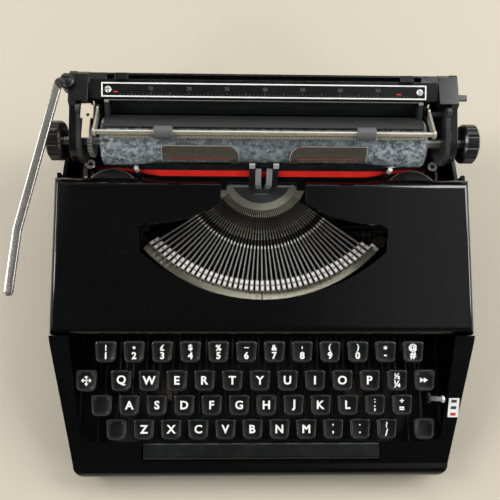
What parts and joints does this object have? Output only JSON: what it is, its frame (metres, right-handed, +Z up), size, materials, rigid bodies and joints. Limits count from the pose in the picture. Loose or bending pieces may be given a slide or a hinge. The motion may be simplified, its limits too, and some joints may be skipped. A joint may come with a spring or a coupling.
{
  "type": "portable typewriter",
  "caption": "Low portable typewriter with a lift-up glossy hood, sliding carriage and platen, pressable keys and a fan of typebars in a shifting basket.",
  "frame": {"origin": "centre of the machine's box in plan, on the table under the feet", "axes": "+X to the typist's right along the carriage travel, +Y from the typist to the rear, +Z up"},
  "size_m": [0.3078, 0.27, 0.1053],
  "materials": {
    "casing": "polished black",
    "frame": "satin dark grey",
    "steel": "bare steel",
    "type_metal": "bright steel",
    "chrome": "plated",
    "brass": "plain",
    "rubber": "matte black",
    "platen_rubber": "worn grey-blue",
    "key_plastic": "dark grey with white legends",
    "clear": "clear plastic",
    "felt": "cream felt",
    "tape": "two-colour inked tape",
    "beige": "beige plastic"
  },
  "bodies": {
    "base": {"chassis": "frame", "rubber_feet": "rubber", "housing": "casing", "carriage_rail": "steel", "key_comb": "steel", "key_pivot_rod": "steel", "ribbon_plate": "frame", "ribbon": "tape", "card_holders": "clear", "hinge_pins": "steel", "frame_screws": "steel", "bell": "chrome"},
    "hood": {"ribbon_cover": "casing"},
    "basket": {"type_basket": "frame", "type_rest_pad": "felt", "segment": "steel", "typebars": "type_metal", "type_guide": "steel"},
    "live_typebar": {"strike_typebar": "type_metal"},
    "live_key": {"strike_key": "key_plastic"},
    "number_row": {"number_keytops": "key_plastic", "number_levers": "steel"},
    "upper_row": {"upper_keytops": "key_plastic", "upper_levers": "steel"},
    "home_row": {"home_keytops": "key_plastic", "home_levers": "steel"},
    "lower_row": {"lower_keytops": "key_plastic", "lower_levers": "steel"},
    "shift": {"shift_keys": "key_plastic"},
    "shift_lock": {"shift_lock_key": "key_plastic"},
    "margin_release": {"margin_release_key": "key_plastic"},
    "backspace": {"backspace_key": "key_plastic"},
    "space": {"space_bar": "key_plastic"},
    "selector": {"colour_selector": "steel"},
    "left_ribbon_spool": {"left_spool": "steel"},
    "right_ribbon_spool": {"right_spool": "steel"},
    "vibrator": {"ribbon_vibrator": "type_metal"},
    "carriage": {"carriage_frame": "frame", "left_end_cover": "casing", "right_end_cover": "casing", "paper_table": "casing", "scale_bar": "casing", "scale_frame": "chrome", "carriage_screws": "steel", "escape_rack": "steel"},
    "roller": {"platen": "platen_rubber", "platen_shaft": "steel", "left_knob": "casing", "right_knob": "casing", "line_ratchet": "steel"},
    "bail": {"paper_bail": "chrome"},
    "left_bail_wheel": {"left_bail_roller": "rubber"},
    "right_bail_wheel": {"right_bail_roller": "rubber"},
    "return_arm": {"return_lever": "chrome"},
    "line_space": {"line_space_lever": "beige"},
    "paper_release": {"paper_release_lever": "casing"},
    "left_stop": {"left_margin_stop": "casing"},
    "right_stop": {"right_margin_stop": "casing"},
    "pinion": {"escape_pinion": "brass"},
    "drum": {"mainspring_drum": "brass"}
  },
  "joints": [
    {"name": "hood_hinge", "type": "hinge", "parent": "base", "child": "hood", "pos_m": [0.00685, -0.031, 0.05367], "axis": [-1, 0, 0], "range_deg": [-65, 0]},
    {"name": "carriage_slide", "type": "slide", "parent": "base", "child": "carriage", "axis": [1, 0, 0], "range_m": [-0.105, 0.105]},
    {"name": "basket_shift", "type": "slide", "parent": "base", "child": "basket", "axis": [0, -0.342, -0.9397], "range_m": [0, 0.005], "stiffness_N_per_m": 800, "springref_m": -0.012},
    {"name": "typebar_swing", "type": "hinge", "parent": "basket", "child": "live_typebar", "pos_m": [0.00685, 0.05242, 0.03257], "axis": [-1, 0, 0], "range_deg": [0, 100.7], "stiffness_Nm_per_rad": 0.0015, "springref_deg": -11.46},
    {"name": "strike_press", "type": "hinge", "parent": "base", "child": "live_key", "pos_m": [0.00685, 0.041, 0.0212], "axis": [1, 0, 0], "range_deg": [0, 4.56]},
    {"name": "lower_row_press", "type": "hinge", "parent": "base", "child": "lower_row", "pos_m": [0.00685, 0.041, 0.0212], "axis": [1, 0, 0], "range_deg": [0, 4.02], "stiffness_Nm_per_rad": 0.6, "springref_deg": -17.19},
    {"name": "home_row_press", "type": "hinge", "parent": "base", "child": "home_row", "pos_m": [0.00685, 0.041, 0.0212], "axis": [1, 0, 0], "range_deg": [0, 4.56], "stiffness_Nm_per_rad": 0.6, "springref_deg": -17.19},
    {"name": "upper_row_press", "type": "hinge", "parent": "base", "child": "upper_row", "pos_m": [0.00685, 0.041, 0.0212], "axis": [1, 0, 0], "range_deg": [0, 5.26], "stiffness_Nm_per_rad": 0.6, "springref_deg": -17.19},
    {"name": "number_row_press", "type": "hinge", "parent": "base", "child": "number_row", "pos_m": [0.00685, 0.041, 0.0212], "axis": [1, 0, 0], "range_deg": [0, 6.37], "stiffness_Nm_per_rad": 0.6, "springref_deg": -17.19},
    {"name": "shift_press", "type": "hinge", "parent": "base", "child": "shift", "pos_m": [0.00685, 0.041, 0.0212], "axis": [1, 0, 0], "range_deg": [0, 4.02]},
    {"name": "shift_lock_press", "type": "hinge", "parent": "base", "child": "shift_lock", "pos_m": [0.00685, 0.041, 0.0212], "axis": [1, 0, 0], "range_deg": [0, 4.56], "stiffness_Nm_per_rad": 0.04, "springref_deg": -17.19},
    {"name": "margin_release_press", "type": "hinge", "parent": "base", "child": "margin_release", "pos_m": [0.00685, 0.041, 0.0212], "axis": [1, 0, 0], "range_deg": [0, 5.26], "stiffness_Nm_per_rad": 0.04, "springref_deg": -17.19},
    {"name": "backspace_press", "type": "hinge", "parent": "base", "child": "backspace", "pos_m": [0.00685, 0.041, 0.0212], "axis": [1, 0, 0], "range_deg": [0, 5.26], "stiffness_Nm_per_rad": 0.04, "springref_deg": -17.19},
    {"name": "space_press", "type": "hinge", "parent": "base", "child": "space", "pos_m": [0.00685, 0.041, 0.0212], "axis": [1, 0, 0], "range_deg": [0, 3.09], "stiffness_Nm_per_rad": 0.3, "springref_deg": -17.19},
    {"name": "selector_turn", "type": "hinge", "parent": "base", "child": "selector", "pos_m": [0.00685, -0.0809, 0.0146], "axis": [1, 0, 0], "range_deg": [-12, 12]},
    {"name": "left_spool_turn", "type": "hinge", "parent": "base", "child": "left_ribbon_spool", "pos_m": [-0.10015, 0.0595, 0.05], "axis": [0, 0, 1], "continuous": true},
    {"name": "right_spool_turn", "type": "hinge", "parent": "base", "child": "right_ribbon_spool", "pos_m": [0.11385, 0.0595, 0.05], "axis": [0, 0, 1], "continuous": true},
    {"name": "vibrator_lift", "type": "slide", "parent": "base", "child": "vibrator", "axis": [0, 0.342, 0.9397], "range_m": [0, 0.008]},
    {"name": "platen_turn", "type": "hinge", "parent": "carriage", "child": "roller", "pos_m": [0.00685, 0.093, 0.0774], "axis": [1, 0, 0], "continuous": true},
    {"name": "bail_lift", "type": "hinge", "parent": "carriage", "child": "bail", "pos_m": [0.00685, 0.11, 0.0884], "axis": [-1, 0, 0], "range_deg": [0, 55]},
    {"name": "left_roller_turn", "type": "hinge", "parent": "bail", "child": "left_bail_wheel", "pos_m": [-0.06015, 0.091, 0.0982], "axis": [1, 0, 0], "continuous": true},
    {"name": "right_roller_turn", "type": "hinge", "parent": "bail", "child": "right_bail_wheel", "pos_m": [0.07385, 0.091, 0.0982], "axis": [1, 0, 0], "continuous": true},
    {"name": "return_swing", "type": "hinge", "parent": "carriage", "child": "return_arm", "pos_m": [-0.12415, 0.126, 0.101], "axis": [0, 0, 1], "range_deg": [0, 20], "stiffness_Nm_per_rad": 0.3, "springref_deg": -5.73},
    {"name": "line_space_lift", "type": "hinge", "parent": "carriage", "child": "line_space", "pos_m": [-0.11015, 0.1086, 0.095], "axis": [-1, 0, 0], "range_deg": [0, 20]},
    {"name": "paper_release_pull", "type": "hinge", "parent": "carriage", "child": "paper_release", "pos_m": [0.13885, 0.107, 0.0694], "axis": [1, 0, 0], "range_deg": [0, 20]},
    {"name": "left_stop_slide", "type": "slide", "parent": "carriage", "child": "left_stop", "axis": [1, 0, 0], "range_m": [0, 0.08]},
    {"name": "right_stop_slide", "type": "slide", "parent": "carriage", "child": "right_stop", "axis": [1, 0, 0], "range_m": [-0.08, 0]},
    {"name": "pinion_turn", "type": "hinge", "parent": "base", "child": "pinion", "pos_m": [0.00685, 0.0908, 0.052], "axis": [0, 0, 1], "continuous": true},
    {"name": "drum_turn", "type": "hinge", "parent": "base", "child": "drum", "pos_m": [-0.08715, 0.094, 0.028], "axis": [0, 0, 1], "range_deg": [-345, 345]}
  ],
  "couplings": [
    {"joint": "strike_press", "follows": "typebar_swing", "ratio": 0.04526},
    {"joint": "vibrator_lift", "follows": "typebar_swing", "m_per_rad": 0.0045495},
    {"joint": "shift_press", "follows": "basket_shift", "rad_per_m": 14.025},
    {"joint": "pinion_turn", "follows": "carriage_slide", "rad_per_m": -125},
    {"joint": "drum_turn", "follows": "carriage_slide", "rad_per_m": 57}
  ]
}
